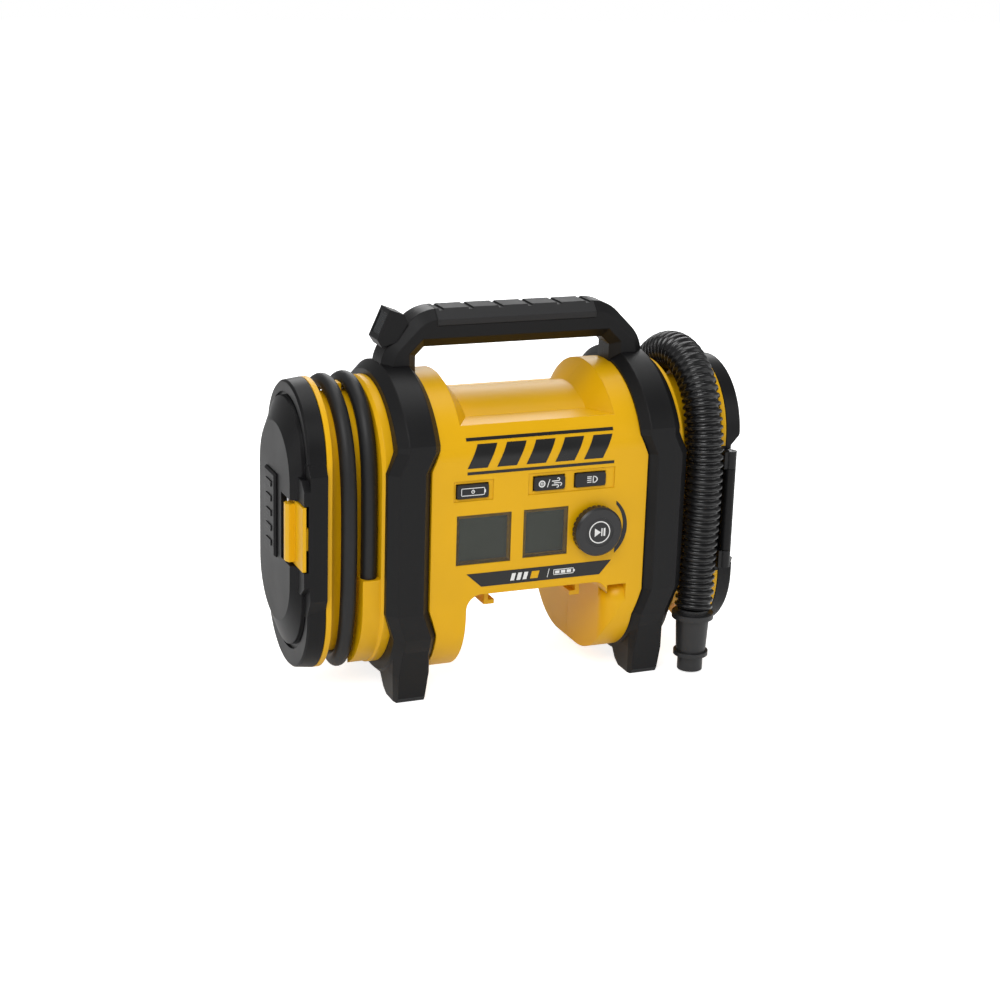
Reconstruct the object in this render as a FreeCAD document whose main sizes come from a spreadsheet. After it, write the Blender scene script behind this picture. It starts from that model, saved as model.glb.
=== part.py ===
# Cordless air inflator: clam-shell body with two roll-cage frames, carry
# handle, high-pressure hose wound on the left spool, corrugated high-volume
# hose on the right spool, two storage doors and a battery bay.
# Units: millimetres.  +X to the right, +Y to the rear, +Z up; Z = 0 is the
# plane the four feet stand on.
import FreeCAD, Part
import Sketcher
import math
import os
import re
from FreeCAD import Vector as Vec, Placement, Rotation

doc = FreeCAD.newDocument("air_inflator")
sheet = doc.addObject("Spreadsheet::Sheet", "dims")

DIMS = [
    ("front_plane", 59.5, "control panel plane, distance from the mid plane"),
    ("wall", 2.6, "housing wall"),
    ("rim_radius", 64.0, "shoulder rims of the centre body"),
    ("barrel_radius", 50.0, "barrel between the shoulder rims"),
    ("round_height", 138.0, "height of the centre of the top arcs"),
    ("corner_radius", 45.5, "bottom corners of the centre body"),
    ("corner_y", 14.0, "centre of the bottom corners, from mid plane"),
    ("corner_height", 57.0, "height of the bottom corner centres"),
    ("neck_half", 67.4, "half width of centre body, top and bottom"),
    ("waist_half", 72.9, "half width of centre body, middle"),
    ("rim_inner", 52.0, "inner edge of a shoulder rim"),
    ("barrel_half", 41.0, "half width of the barrel"),
    ("ledge_height", 177.5, "top of the control panel block"),
    ("bay_half", 48.5, "half width of the battery bay"),
    ("bay_height", 70.0, "ceiling of the battery bay"),
    ("frame_radius", 71.0, "top arc of a side frame"),
    ("frame_plane", 63.5, "front face of a side frame"),
    ("frame_inner", 67.5, "inner side of a frame, top and bottom"),
    ("frame_flare", 6.0, "outward step of a frame in its middle"),
    ("frame_chamfer", 5.5, "chamfer of a frame"),
    ("frame_hole", 47.0, "half depth of the opening through a frame"),
    ("foot_depth", 23.0, "depth of a foot"),
    ("foot_front", 52.0, "front of a foot from mid plane"),
    ("flange_radius", 54.0, "wide spool flange, end radius"),
    ("flange_low", 68.0, "wide flange, lower arc centre height"),
    ("flange_high", 146.0, "wide flange, upper arc centre height"),
    ("flange_in", 95.1, "wide flange, inner face"),
    ("flange_out", 102.5, "wide flange, outer face"),
    ("spool_low", 60.0, "spool core, lower arc centre height"),
    ("spool_high", 155.0, "spool core, upper arc centre height"),
    ("core_left", 36.5, "left spool core end radius"),
    ("core_right", 32.0, "right spool core end radius"),
    ("core_out", 132.0, "outer end of the core"),
    ("rim_out", 135.5, "outer face of the thin flange"),
    ("thin_radius", 46.0, "thin flange end radius"),
    ("door_in", 136.0, "inner face of a door"),
    ("door_band", 147.0, "edge of the door band"),
    ("door_out", 155.0, "outer face of a door"),
    ("hinge_x", 137.5, "door hinge axis, from mid plane"),
    ("hinge_y", 50.0, "door hinge axis, towards the rear"),
    ("pin_radius", 1.5, "door hinge pin"),
    ("run_gap", 0.06, "radial running clearance"),
    ("latch_pivot_x", 152.5, "latch pivot, from mid plane"),
    ("latch_pivot_y", -23.5, "latch pivot"),
    ("handle_half", 89.5, "outer half width of the handle"),
    ("handle_top", 242.0, "top of the handle"),
    ("handle_under", 218.3, "underside of the hand bar"),
    ("handle_depth", 28.0, "depth of the hand bar"),
    ("handle_chamfer", 6.0, "chamfers of the hand bar"),
    ("strut_inner", 66.5, "inner side of the handle strut"),
    ("knob_radius", 16.0, "selector knob"),
    ("knob_x", 37.5, "selector knob centre"),
    ("knob_height", 106.0, "selector knob centre"),
    ("knob_face", 67.4, "front face of the knob, from mid plane"),
    ("button_wide", 21.0, "push button width"),
    ("button_high", 9.0, "push button height"),
    ("button_travel", 1.2, "push button travel"),
    ("crank_y", 15.0, "crank axis"),
    ("crank_height", 130.0, "crank axis"),
    ("motor_height", 160.0, "compressor motor axis"),
    ("gear_module", 1.0, "module of the reduction gears"),
    ("gear_teeth", 48.0, "crank gear"),
    ("pinion_teeth", 12.0, "motor pinion"),
    ("crank_throw", 5.0, "crank throw"),
    ("piston_radius", 10.0, "compressor piston"),
    ("rod_length", 35.0, "connecting rod, centre to centre"),
    ("blower_height", 128.0, "blower axis"),
    ("impeller_radius", 34.0, "blower impeller"),
    ("thin_hose", 10.0, "high pressure hose, outside diameter"),
    ("wide_hose", 25.0, "corrugated hose, outside diameter"),
    ("groove_mid", 117.25, "middle of the right spool groove"),
]
NAMES = {}
for row, (alias, value, note) in enumerate(DIMS, 1):
    sheet.set("A%d" % row, note)
    sheet.set("B%d" % row, str(value))
    sheet.setAlias("B%d" % row, alias)
    NAMES[alias] = value
doc.recompute()


def V(alias):
    """Value of a cell of the sheet."""
    return float(sheet.get(alias))


def X(text):
    """Expression text with each alias pointed at the sheet."""
    return re.sub(r"[a-z_]+[a-z]", lambda m: "dims." + m.group(0)
                  if m.group(0) in NAMES else m.group(0), str(text))


def bind(o, prop, text):
    o.setExpression(prop, X(text))


NODES = []


def node(o, label):
    o.Label = label
    NODES.append(o)
    return o


# ---------------------------------------------------------------- primitives
count = [0]


def auto(prefix):
    count[0] += 1
    return "%s_%03d" % (prefix, count[0])


def B(x0, x1, y0, y1, z0, z1):
    o = doc.addObject("Part::Box", auto("block"))
    for prop, a, b in (("Length", x0, x1), ("Width", y0, y1), ("Height", z0, z1)):
        bind(o, prop, "(%s)-(%s)" % (b, a))
    for ax, a in zip("xyz", (x0, y0, z0)):
        bind(o, "Placement.Base." + ax, "(%s)" % a)
    return o


TURN = {"X": Rotation(Vec(0, 1, 0), 90), "Y": Rotation(Vec(1, 0, 0), -90),
        "Z": Rotation()}


def along(o, axis, start, c1, c2):
    o.Placement = Placement(Vec(0, 0, 0), TURN[axis])
    order = {"X": "xyz", "Y": "yxz", "Z": "zxy"}[axis]
    for ax, a in zip(order, (start, c1, c2)):
        bind(o, "Placement.Base." + ax, "(%s)" % a)


def C(axis, r, a0, a1, c1, c2):
    """Cylinder along an axis from a0 to a1; c1, c2 are the other two coordinates."""
    o = doc.addObject("Part::Cylinder", auto("round"))
    bind(o, "Radius", r)
    bind(o, "Height", "(%s)-(%s)" % (a1, a0))
    along(o, axis, a0, c1, c2)
    return o


def K(axis, r0, r1, a0, a1, c1, c2):
    o = doc.addObject("Part::Cone", auto("cone"))
    bind(o, "Radius1", r0)
    bind(o, "Radius2", r1)
    bind(o, "Height", "(%s)-(%s)" % (a1, a0))
    along(o, axis, a0, c1, c2)
    return o


def fuse(*objs):
    o = doc.addObject("Part::MultiFuse", auto("sum"))
    o.Shapes = list(objs)
    o.Refine = True
    return o


def cut(base, *tools):
    o = doc.addObject("Part::Cut", auto("diff"))
    o.Base = base
    o.Tool = tools[0] if len(tools) == 1 else fuse(*tools)
    o.Refine = True
    return o


def common(*objs):
    o = doc.addObject("Part::MultiCommon", auto("both"))
    o.Shapes = list(objs)
    o.Refine = True
    return o


def mirror(src):
    o = doc.addObject("Part::Mirroring", auto("mirror"))
    o.Source = src
    o.Base = Vec(0, 0, 0)
    o.Normal = Vec(1, 0, 0)
    return o


def rounded(src, pick, r, kind="Part::Fillet"):
    doc.recompute()
    o = doc.addObject(kind, auto("edge"))
    o.Base = src
    o.Edges = [(i + 1, r, r) for i, e in enumerate(src.Shape.Edges) if pick(e)]
    if not o.Edges:
        raise RuntimeError("no edge to round on " + src.Name)
    return o


def ends(e):
    return [v.Point for v in e.Vertexes]


def runs(e, axis):
    """True for a straight edge along an axis."""
    if len(e.Vertexes) != 2 or not isinstance(e.Curve, Part.Line):
        return False
    d = e.Vertexes[1].Point - e.Vertexes[0].Point
    return abs(abs(getattr(d, axis)) - d.Length) < 1e-6


def feat(shape):
    o = doc.addObject("Part::Feature", auto("shape"))
    o.Shape = shape
    return o


# ------------------------------------------------------- sketches and bodies
def new_body(label):
    return doc.addObject("PartDesign::Body", label + "_body")


def origin_plane(body, role):
    for f in body.Origin.OriginFeatures:
        if f.Role == role:
            return f
    raise RuntimeError(role)


def new_sketch(body, role, offset="0"):
    s = body.newObject("Sketcher::SketchObject", auto("sketch"))
    s.AttachmentSupport = [(origin_plane(body, role), "")]
    s.MapMode = "FlatFace"
    bind(s, "AttachmentOffset.Base.z", offset)
    return s


def polygon(s, pts):
    """Closed polygon; each corner is held by two dimensions from the sheet."""
    n = len(pts)
    vals = [(float(cell_number(u)), float(cell_number(v))) for u, v in pts]
    for i in range(n):
        a, b = vals[i], vals[(i + 1) % n]
        s.addGeometry(Part.LineSegment(Vec(a[0], a[1], 0), Vec(b[0], b[1], 0)), False)
    for i in range(n):
        s.addConstraint(Sketcher.Constraint("Coincident", i, 2, (i + 1) % n, 1))
    for i, (u, v) in enumerate(pts):
        for kind, e, val in (("DistanceX", u, vals[i][0]), ("DistanceY", v, vals[i][1])):
            c = s.addConstraint(Sketcher.Constraint(kind, -1, 1, i, 1, val))
            s.setExpression("Constraints[%d]" % c, X("(%s)" % e))


def circle(s, r, cx="0", cy="0"):
    g = s.addGeometry(Part.Circle(Vec(cell_number(cx), cell_number(cy), 0), Vec(0, 0, 1),
                                  cell_number(r)), False)
    for kind, e in (("DistanceX", cx), ("DistanceY", cy)):
        c = s.addConstraint(Sketcher.Constraint(kind, -1, 1, g, 3, cell_number(e)))
        s.setExpression("Constraints[%d]" % c, X("(%s)" % e))
    c = s.addConstraint(Sketcher.Constraint("Radius", g, cell_number(r)))
    s.setExpression("Constraints[%d]" % c, X("(%s)" % r))


def cell_number(text):
    """Number for a simple sum, difference or product of cells."""
    total, sign = 0.0, 1.0
    for tok in re.findall(r"[+-]|[^+-]+", str(text).replace(" ", "")):
        if tok in "+-":
            sign = sign * (-1.0 if tok == "-" else 1.0)
            continue
        prod, op = 1.0, "*"
        for f in re.findall(r"[*/]|[^*/]+", tok):
            if f in "*/":
                op = f
                continue
            val = V(f) if f in NAMES else float(f)
            prod = prod / val if op == "/" else prod * val
        total += sign * prod
        sign = 1.0
    return total


def pad(body, s, length):
    p = body.newObject("PartDesign::Pad", auto("pad"))
    p.Profile = s
    bind(p, "Length", length)
    body.Tip = p
    s.Visibility = False
    return p


def pocket(body, s, length):
    p = body.newObject("PartDesign::Pocket", auto("pocket"))
    p.Profile = s
    bind(p, "Length", length)
    body.Tip = p
    return p


def polar(body, feature, s, n):
    p = body.newObject("PartDesign::PolarPattern", auto("polar"))
    p.Originals = [feature]
    p.Axis = (s, ["N_Axis"])
    p.Angle = 360.0
    p.Occurrences = n
    body.Tip = p
    return p


def prism(role, pts, a0, a1):
    """Padded polygon.  XY: along Z, XZ: along Y, YZ: along X, from a0 to a1."""
    b = new_body(auto("prism"))
    if role == "XZ_Plane":
        s = new_sketch(b, role, "0-(%s)" % a1)
    else:
        s = new_sketch(b, role, a0)
    polygon(s, pts)
    pad(b, s, "(%s)-(%s)" % (a1, a0))
    return b


# ------------------------------------------------------------- plain shapes
def halfspace(axis, lo, hi):
    big = 400.0
    lim = {"x": [-big, big], "y": [-big, big], "z": [-big, big]}
    lim[axis] = [lo, hi]
    return Part.makeBox(lim["x"][1] - lim["x"][0], lim["y"][1] - lim["y"][0],
                        lim["z"][1] - lim["z"][0],
                        Vec(lim["x"][0], lim["y"][0], lim["z"][0]))


def stadium_wire(x, r, za, zb):
    p = lambda y, z: Vec(x, y, z)
    return Part.Wire([
        Part.Arc(p(-r, zb), p(0, zb + r), p(r, zb)).toShape(),
        Part.LineSegment(p(r, zb), p(r, za)).toShape(),
        Part.Arc(p(r, za), p(0, za - r), p(-r, za)).toShape(),
        Part.LineSegment(p(-r, za), p(-r, zb)).toShape()])


def stadium(x0, x1, r, za, zb):
    return Part.Face(stadium_wire(x0, r, za, zb)).extrude(Vec(x1 - x0, 0, 0))


def loft(wires):
    return Part.makeLoft(wires, True, True)


def stadium_stack(rows):
    """rows of (x, radius, low centre, high centre)"""
    return loft([stadium_wire(*r) for r in rows])


def poly(pts):
    return Part.makePolygon([Vec(*p) for p in pts] + [Vec(*pts[0])])


def flat_mirror(s):
    return s.mirror(Vec(0, 0, 0), Vec(1, 0, 0))


def box(x0, x1, y0, y1, z0, z1):
    return Part.makeBox(x1 - x0, y1 - y0, z1 - z0, Vec(x0, y0, z0))


def tube(r, p0, p1):
    p0, p1 = Vec(*p0), Vec(*p1)
    return Part.makeCylinder(r, (p1 - p0).Length, p0, p1 - p0)


# ============================================================ centre housing
def centre_mass(inset):
    """Outer form of the centre body, moved inwards by inset."""
    i = "(%s)" % inset
    rim = [C("X", "rim_radius-%s" % i, "0-waist_half", "waist_half", "0", "round_height")]
    groove = cut(
        C("X", "rim_radius+1", "0-rim_inner-%s" % i, "rim_inner+%s" % i, "0", "round_height"),
        C("X", "barrel_radius-%s" % i, "0-rim_inner-%s" % i, "rim_inner+%s" % i, "0",
          "round_height"),
        K("X", "rim_radius+1-%s" % i, "barrel_radius-%s" % i, "0-rim_inner-1-%s" % i,
          "0-barrel_half-%s" % i, "0", "round_height"),
        K("X", "barrel_radius-%s" % i, "rim_radius+1-%s" % i, "barrel_half+%s" % i,
          "rim_inner+1+%s" % i, "0", "round_height"),
        B("0-rim_inner-10", "rim_inner+10", "0-rim_radius-5", "rim_radius+5", "0",
          "round_height"))
    top = cut(rim[0], groove)
    ledge = B("0-rim_inner-5-%s" % i, "rim_inner+5+%s" % i, "0-front_plane+%s" % i,
              "front_plane-%s" % i, "100", "ledge_height-%s" % i)
    lower = fuse(
        B("0-waist_half", "waist_half", "0-front_plane+%s" % i, "front_plane-%s" % i,
          "corner_height", "round_height+10"),
        C("X", "corner_radius-%s" % i, "0-waist_half", "waist_half", "corner_y",
          "corner_height"),
        C("X", "corner_radius-%s" % i, "0-waist_half", "waist_half", "0-corner_y",
          "corner_height"),
        B("0-waist_half", "waist_half", "0-corner_y", "corner_y",
          "corner_height-corner_radius+%s" % i, "corner_height"))
    return common(fuse(top, ledge, lower), feat(side_profile(cell_number(inset))),
                  plan_of(inset))


def side_profile(d):
    """Front plane, easing arc, shoulder arc: the outline seen from the side."""
    f, big, small, cz0 = V("front_plane"), V("rim_radius"), 20.0, V("round_height")
    cy0 = f - small
    dz0 = math.sqrt((big - small) ** 2 - cy0 ** 2)
    uy, uz = cy0 / (big - small), dz0 / (big - small)
    half = math.atan2(uz, uy) / 2.0
    r, rr = small - d, big - d
    q = lambda a, b: Vec(-90.0, a, b)
    wire = Part.Wire([
        Part.LineSegment(q(-f + d, 0), q(-f + d, cz0 + dz0)).toShape(),
        Part.Arc(q(-f + d, cz0 + dz0),
                 q(-cy0 - r * math.cos(half), cz0 + dz0 + r * math.sin(half)),
                 q(-rr * uy, cz0 + rr * uz)).toShape(),
        Part.Arc(q(-rr * uy, cz0 + rr * uz), q(0, cz0 + rr), q(rr * uy, cz0 + rr * uz)).toShape(),
        Part.Arc(q(rr * uy, cz0 + rr * uz),
                 q(cy0 + r * math.cos(half), cz0 + dz0 + r * math.sin(half)),
                 q(f - d, cz0 + dz0)).toShape(),
        Part.LineSegment(q(f - d, cz0 + dz0), q(f - d, 0)).toShape(),
        Part.LineSegment(q(f - d, 0), q(-f + d, 0)).toShape()])
    return Part.Face(wire).extrude(Vec(180.0, 0, 0))


def plan_of(inset):
    i = "(%s)" % inset if inset != "0" else "0"
    k = inset
    side = [("neck_half-%s" % k, "0"), ("neck_half-%s" % k, "45"),
            ("waist_half-%s" % k, "62"), ("waist_half-%s" % k, "152"),
            ("neck_half-%s" % k, "165"), ("neck_half-%s" % k, "230")]
    left = [("0-" + u.replace("-%s" % k, "+%s" % k), v) for u, v in reversed(side)]
    return prism("XZ_Plane", side + left, "0-100", "100")


outer = centre_mass("0")
inner = centre_mass("wall")

bay = rounded(B("0-bay_half", "bay_half", "0-90", "90", "0-5", "bay_height"),
              lambda e: runs(e, "y") and ends(e)[0].z > 10, 10.0)
bay_skin = rounded(B("0-bay_half-wall", "bay_half+wall", "0-90", "90", "0-5",
                     "bay_height+wall"),
                   lambda e: runs(e, "y") and ends(e)[0].z > 10, 12.0)
# the right leg has a large round at its inner front corner, domed on top
filler = common(B("bay_half", "bay_half+15.6", "0-front_plane", "0-front_plane+15.6", "11.2",
                  "bay_height"), outer)
dome = doc.addObject("Part::Sphere", auto("dome"))
bind(dome, "Radius", "13")
bind(dome, "Placement.Base.x", "bay_half+13")
bind(dome, "Placement.Base.y", "0-front_plane+13")
bind(dome, "Placement.Base.z", "54")
niche = cut(B("bay_half-0.1", "bay_half+13", "0-front_plane-0.5", "0-front_plane+13", "0-1",
              "67"),
            fuse(C("Z", "13", "0-2", "54", "bay_half+13", "0-front_plane+13"), dome))
skin = cut(fuse(cut(outer, cut(inner, bay_skin), bay), filler),
           fuse(B("0-90", "90", "0-90", "90", "0-10", "11.2"), niche))

# control panel openings
tools = []
for x0, x1, z0, z1 in ((-56.0, -20.0, 90.5, 122.3), (-11.3, 18.6, 91.4, 122.5)):
    tools.append(B(x0 - 0.2, x1 + 0.2, "0-front_plane-1", "0-front_plane+1.3",
                   z0 - 0.2, z1 + 0.2))
    tools.append(B(x0 + 2, x1 - 2, "0-front_plane-1", "0-front_plane+4", z0 + 2, z1 - 2))
BUTTONS = [("power_button", -46.3, 138.0), ("mode_button", 5.0, 139.0),
           ("light_button", 33.0, 139.0)]
for label, bx, bz in BUTTONS:
    tools.append(B("%s-button_wide/2-0.35" % bx, "%s+button_wide/2+0.35" % bx,
                   "0-front_plane-1", "0-front_plane+4",
                   "%s-button_high/2-0.35" % bz, "%s+button_high/2+0.35" % bz))
tools.append(B(-58.5, -32.5, "0-front_plane-1", "0-front_plane+0.7", 131.6, 144.6))
tools.append(B(-9.0, 50.0, "0-front_plane-1", "0-front_plane+0.7", 132.2, 146.0))
tools.append(C("Y", "4.6", "0-front_plane-1", "0-front_plane+4", "knob_x", "knob_height"))
front_tools = fuse(*tools)

# four screw bosses tie the two halves together
BOSS = [(-62.0, 86.0), (62.0, 86.0), (-63.8, 147.0), (63.8, 147.0)]
boss_rear = [C("Y", "4.2", "0", "front_plane-2", str(bx), str(bz)) for bx, bz in BOSS]
boss_front = [C("Y", "4.2", "0-front_plane+2", "0", str(bx), str(bz)) for bx, bz in BOSS]
holes_rear = []
holes_front = []
for bx, bz in BOSS:
    holes_rear += [C("Y", "1.8", "0-1", "front_plane+1", str(bx), str(bz)),
                   C("Y", "3.3", "20", "front_plane+1", str(bx), str(bz))]
    holes_front += [C("Y", "1.5", "0-22", "1", str(bx), str(bz))]
front_half = B("0-90", "90", "0-90", "0", "0", "260")
rear_half = B("0-90", "90", "0", "90", "0", "260")
front_housing = node(cut(fuse(common(skin, front_half), common(outer, fuse(*boss_front))),
                         front_tools, *holes_front), "front_housing")
vents = [B("0-26", "26", "front_plane-9", "front_plane+1", 96.0 + 8 * k, 99.5 + 8 * k)
         for k in range(6)]
rear_housing = node(cut(fuse(common(skin, rear_half), common(outer, fuse(*boss_rear))),
                        *(vents + holes_rear)), "rear_housing")
screws = []
for bx, bz in BOSS:
    screws += [fuse(C("Y", "1.45", "0-20", "21", str(bx), str(bz)),
                    C("Y", "3.1", "20.1", "23", str(bx), str(bz)))]
node(fuse(*screws), "housing_screws")

# ============================================================== side frames
fr, fp, fc = V("frame_radius"), V("frame_plane"), V("frame_chamfer")
fi, ff = V("frame_inner"), V("frame_flare")
cz, cy, cr = V("corner_height"), V("corner_y"), V("frame_plane") - V("corner_y")
th = V("round_height")


def frame_wire(x, d):
    y = fp - d
    zt = th + math.sqrt((fr - d) ** 2 - y ** 2)
    r = cr - d
    q = r * math.sqrt(0.5)
    p = lambda a, b: Vec(x, a, b)
    return Part.Wire([
        Part.Arc(p(-y, zt), p(0, th + fr - d), p(y, zt)).toShape(),
        Part.LineSegment(p(y, zt), p(y, cz)).toShape(),
        Part.Arc(p(y, cz), p(cy + q, cz - q), p(cy, cz - r)).toShape(),
        Part.LineSegment(p(cy, cz - r), p(-cy, cz - r)).toShape(),
        Part.Arc(p(-cy, cz - r), p(-cy - q, cz - q), p(-y, cz)).toShape(),
        Part.LineSegment(p(-y, cz), p(-y, zt)).toShape()])


def ring_poly(z, shift, yo, yi):
    a, b, c, d = fi, fi + 5.0, fi + 21.5, fi + 27.5
    return poly([(a + shift, -yi, z), (b + shift, -yo, z), (c + shift, -yo, z),
                 (d + shift, -yi, z), (d + shift, yi, z), (c + shift, yo, z),
                 (b + shift, yo, z), (a + shift, yi, z)])


stack = loft([frame_wire(fi, fc), frame_wire(fi + 5, 0), frame_wire(fi + 21.5, 0),
              frame_wire(fi + 27.5, fc)])
dz = cz - 45.0
yo45 = cy + math.sqrt(cr ** 2 - dz ** 2)
yi45 = cy + math.sqrt((cr - fc) ** 2 - dz ** 2)
frame = stack.common(halfspace("z", 165.0, 400.0)).fuse([
    stack.common(halfspace("z", -50.0, 45.0)),
    loft([ring_poly(165.0, 0, fp, fp - fc), ring_poly(152.0, ff, fp, fp - fc)]),
    loft([ring_poly(152.0, ff, fp, fp - fc), ring_poly(62.0, ff, fp, fp - fc)]),
    loft([ring_poly(62.0, ff, fp, fp - fc), ring_poly(45.0, 0, yo45, yi45)])]).removeSplitter()
ffr, fde = V("foot_front"), V("foot_depth")
foot_pts = [(-ffr + 20.0, 37.0), (-ffr - 7.0, 37.0), (-ffr - 3.8, 18.5), (-ffr - 1.0, 3.4),
            (-ffr + 1.6, 0.0), (-ffr + fde - 5.0, 0.0), (-ffr + fde, 3.6),
            (-ffr + fde + 5, 14.0), (-ffr + fde + 5, 30.0)]


def foot(sign):
    body = Part.Face(poly([(fi + 1.0, sign * y, z) for y, z in foot_pts])).extrude(
        Vec(26.0, 0, 0))
    y0 = ffr
    low = [(fi + 4.0, -20.0), (fi + 4.0, -(y0 - 4.5)), (fi + 7.6, -(y0 + 8)),
           (fi + 20.4, -(y0 + 8)), (fi + 24.0, -(y0 - 5.5)), (fi + 24.0, -20.0)]
    high = [(fi + 2.0, -20.0), (fi + 2.0, -(y0 - 0.5)), (fi + 6.0, -(y0 + 8)),
            (fi + 21.5, -(y0 + 8)), (fi + 26.0, -(y0 - 1.5)), (fi + 26.0, -20.0)]
    def level(pts, z):
        return poly([(x, sign * y, z) for x, y in pts])
    plan = loft([level(low, -1.0), level(high, 19.0)]).fuse(
        loft([level(high, 19.0), level(high, 60.0)]))
    return body.common(plan)


frame = frame.fuse([foot(1), foot(-1)])
hole = stadium(fi - 5, fi + 45, V("frame_hole"), 74.0, 138.0)
rebate = stadium(V("flange_in") - 0.1, fi + 45, V("flange_radius") + 0.15,
                 V("flange_low"), V("flange_high"))
frame = frame.cut(hole.fuse(rebate)).removeSplitter()
node(feat(frame), "right_frame")
node(feat(flat_mirror(frame)), "left_frame")

# =================================================================== spools
fin, fout, cout, rout = V("flange_in"), V("flange_out"), V("core_out"), V("rim_out")
zl, zh = V("spool_low"), V("spool_high")
fl, fh, fR = V("flange_low"), V("flange_high"), V("flange_radius")


def spool(core_r):
    flange = stadium_stack([(fin, fR, fl, fh), (fout - 2.0, fR, fl, fh),
                            (fout, fR - 2.0, fl, fh)])
    core = stadium(fout - 1, cout, core_r, zl, zh)
    plug = stadium(V("waist_half") + 0.15, fin + 1, V("frame_hole") - 0.2, 74.0, 138.0)
    s = flange.fuse([core, plug]).removeSplitter()
    s = s.cut(stadium(100.0, cout + 1, core_r - 2.6, zl, zh))
    s = s.cut(stadium(V("waist_half") + 3.0, 97.2, V("frame_hole") - 3.0, 74.0, 138.0))
    return s


hy = V("thin_hose") / 2.0
left = flat_mirror(spool(V("core_left")))
# vertical boss that the high-pressure hose leaves, and two hose guides
BOSS_AT = (-108.2, -43.0)
root = box(-113.8, -101.9, -52.0, -22.0, 14.0, 83.5).common(
    flat_mirror(stadium(101.9, 113.8, 51.4, 66.0, 150.0))).cut(
    flat_mirror(stadium(100.0, 135.0, V("core_left") - 2.6, zl, zh)))
boss = root.fuse(box(-115.9, -113.5, -4.5, 4.5, 186.0, 197.5))
boss = boss.cut(tube(hy, (BOSS_AT[0], -43.0, 54.0), (BOSS_AT[0], -44.6, 78.0)))
boss = boss.cut(tube(hy, (BOSS_AT[0], -44.5, 76.0), (BOSS_AT[0], -45.2, 97.0)))
left = left.fuse(boss).removeSplitter()
node(feat(left), "left_spool")
right = spool(V("core_right"))
gm, wr = V("groove_mid"), V("wide_hose") / 2.0
port = tube(wr + 2.6, (gm, 47.0, 34.0), (gm, 47.0, 60.0)).fuse(
    box(gm - 12.0, gm + 12.0, 24.0, 47.0, 36.0, 56.0))
port = port.common(box(fout - 0.5, cout, 0, 90, 0, 200))
port = port.cut(tube(wr, (gm, 47.0, 44.0), (gm, 47.0, 61.0)))
port = port.cut(stadium(100.0, cout + 1, V("core_right") - 2.6, zl, zh))
right = right.fuse(port).removeSplitter()
node(feat(right), "right_spool")

hx, hyy, pr = V("hinge_x"), V("hinge_y"), V("pin_radius")


def turned(s):
    """The right side has its hinge in front: mirror front to back."""
    return s.mirror(Vec(0, 0, 0), Vec(0, 1, 0))


def thin_flange(core_r):
    ring = stadium_stack([(cout, V("thin_radius"), zl, zh),
                          (rout, V("thin_radius"), zl, zh)])
    ring = ring.cut(stadium(cout - 1, rout + 1, core_r - 2.6, zl, zh))
    lugs = []
    for z0, z1 in ((68.0, 79.6), (135.4, 147.0)):
        lug = tube(4.0, (hx, hyy, z0), (hx, hyy, z1)).fuse(
            box(cout, rout, 40.0, hyy + 2.5, z0, z1)).cut(
            tube(pr, (hx, hyy, z0 - 1), (hx, hyy, z1 + 1)))
        lugs.append(lug)
    return ring.fuse(lugs).removeSplitter()


node(feat(turned(thin_flange(V("core_right")))), "right_outer_flange")
node(feat(flat_mirror(thin_flange(V("core_left")))), "left_outer_flange")

pins = C("Z", "pin_radius", "68.2", "146.8", "hinge_x", "0-hinge_y")
node(pins, "right_door_pin")
node(C("Z", "pin_radius", "68.2", "146.8", "0-hinge_x", "hinge_y"), "left_door_pin")

# ==================================================================== doors
din, dband, dout = V("door_in"), V("door_band"), V("door_out")
lx, ly = V("latch_pivot_x"), V("latch_pivot_y")


def scoop_of(g):
    """Sloped relief beside the hinge of the right door, grown all round by g."""
    flank = Part.Face(poly([(137.6 - g, 60.0, 40.0), (137.6 - g, 44.0, 40.0),
                            (156.6 - g, -1.0, 40.0), (175.0, -1.0, 40.0),
                            (175.0, 60.0, 40.0)])).extrude(Vec(0, 0, 140.0))
    side = Part.Face(poly([(130.0, -5.0, 147.5 + g), (138.0, -5.0, 147.5 + g),
                           (149.0, -5.0, 158.5 + g), (175.0, -5.0, 158.5 + g),
                           (175.0, -5.0, 66.0 - g), (149.0, -5.0, 66.0 - g),
                           (138.0, -5.0, 74.0 - g), (130.0, -5.0, 74.0 - g)])).extrude(
        Vec(0, 70.0, 0))
    return flank.common(side)


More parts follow.
